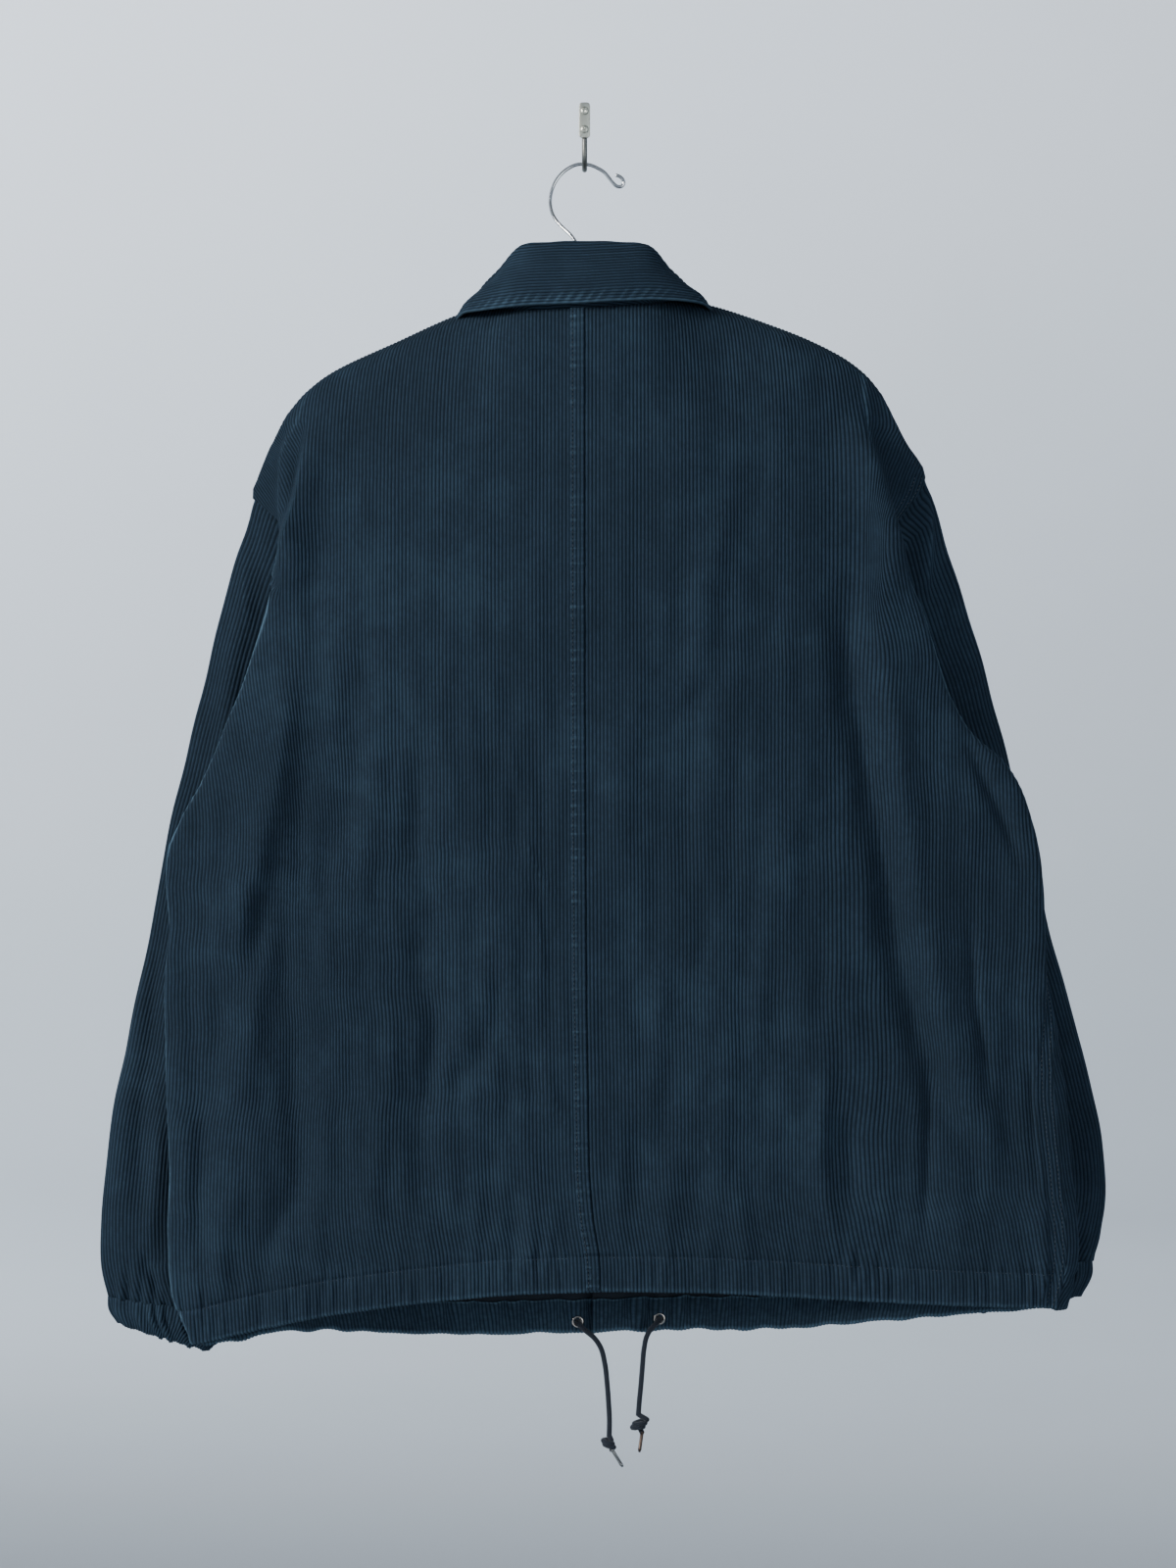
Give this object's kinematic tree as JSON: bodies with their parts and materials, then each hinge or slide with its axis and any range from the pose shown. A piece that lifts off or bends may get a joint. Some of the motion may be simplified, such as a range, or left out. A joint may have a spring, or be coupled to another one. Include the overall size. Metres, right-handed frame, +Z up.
{
  "type": "coach jacket on a hanger and wall hook",
  "caption": "Wide-wale corduroy coach jacket, back to the viewer, hung by a wire-hook hanger from a small wall hook, with a drawstring hem and elastic cuffs.",
  "frame": {"origin": "middle of the wall hook's plate, on its back face, where it is screwed to the wall", "axes": "+Z up, +Y into the wall, +X to the right of a viewer who faces the wall, which is the wearer's right; the jacket's back faces -Y"},
  "size_m": [0.7596, 0.0959, 1.0335],
  "materials": {
    "corduroy": "matt wide-wale corduroy, dark blue-green navy",
    "cord": "matt woven cord, dark navy",
    "bronze_tip": "dark satin",
    "nickel": "satin nickel plate",
    "chrome_wire": "bright plated wire",
    "hanger_bar": "smooth dark",
    "zinc_hook": "dull grey-green zinc",
    "snap_cap": "semi-gloss, dark navy"
  },
  "bodies": {
    "root": {"back_casing_left": "corduroy", "back_casing_right": "corduroy", "back_left": "corduroy", "back_right": "corduroy", "centre_seam_fell": "corduroy", "collar": "corduroy", "cuff_left": "corduroy", "cuff_right": "corduroy", "drawstring_left": "cord", "drawstring_right": "cord", "eyelet_left": "nickel", "eyelet_right": "nickel", "front_casing_left": "corduroy", "front_casing_right": "corduroy", "front_left": "corduroy", "front_right": "corduroy", "hanger_bar": "hanger_bar", "hanger_hook": "chrome_wire", "hook_plate": "zinc_hook", "hook_rod": "zinc_hook", "knot_left": "cord", "knot_right": "cord", "screw_bottom": "zinc_hook", "screw_top": "zinc_hook", "sleeve_left": "corduroy", "sleeve_right": "corduroy", "snap_1": "snap_cap", "snap_2": "snap_cap", "snap_3": "snap_cap", "snap_4": "snap_cap", "snap_5": "snap_cap", "tip_left": "bronze_tip", "tip_right": "bronze_tip"}
  },
  "joints": []
}
